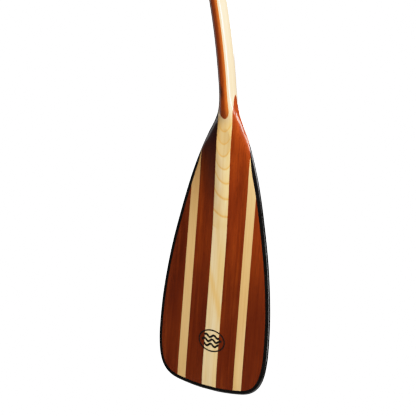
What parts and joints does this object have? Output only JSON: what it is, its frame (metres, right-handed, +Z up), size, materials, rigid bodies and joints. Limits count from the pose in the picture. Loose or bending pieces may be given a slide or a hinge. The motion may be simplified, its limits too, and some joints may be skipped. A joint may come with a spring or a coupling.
{
  "type": "canoe paddle",
  "caption": "Double-bend canoe paddle glued up from red and pale wood strips, with one wide blade, a black resin edge and a palm grip.",
  "frame": {"origin": "middle of the palm grip, on the paddle's centre line where the grip is widest", "axes": "+Z up from the blade's tip along the blade, +X across the blade to the right as its ridged face is seen, -Y the way the ridged face looks and the shaft leans"},
  "size_m": [0.216, 0.2455, 1.2899],
  "materials": {
    "red_wood": "gloss",
    "pale_wood": "gloss",
    "black_resin": "gloss"
  },
  "bodies": {
    "root": {"shaft_front_lamination": "red_wood", "core_lamination_1": "pale_wood", "core_lamination_2": "pale_wood", "core_lamination_3": "pale_wood", "core_lamination_4": "pale_wood", "shaft_back_lamination": "red_wood", "blade_inner_strip_right": "red_wood", "blade_inner_strip_left": "red_wood", "blade_pale_strip_right": "pale_wood", "blade_pale_strip_left": "pale_wood", "blade_outer_strip_right": "red_wood", "blade_outer_strip_left": "red_wood", "blade_resin_edge": "black_resin", "grip_inner_block_right": "red_wood", "grip_inner_block_left": "red_wood", "grip_outer_block_right": "pale_wood", "grip_outer_block_left": "pale_wood"}
  },
  "joints": []
}
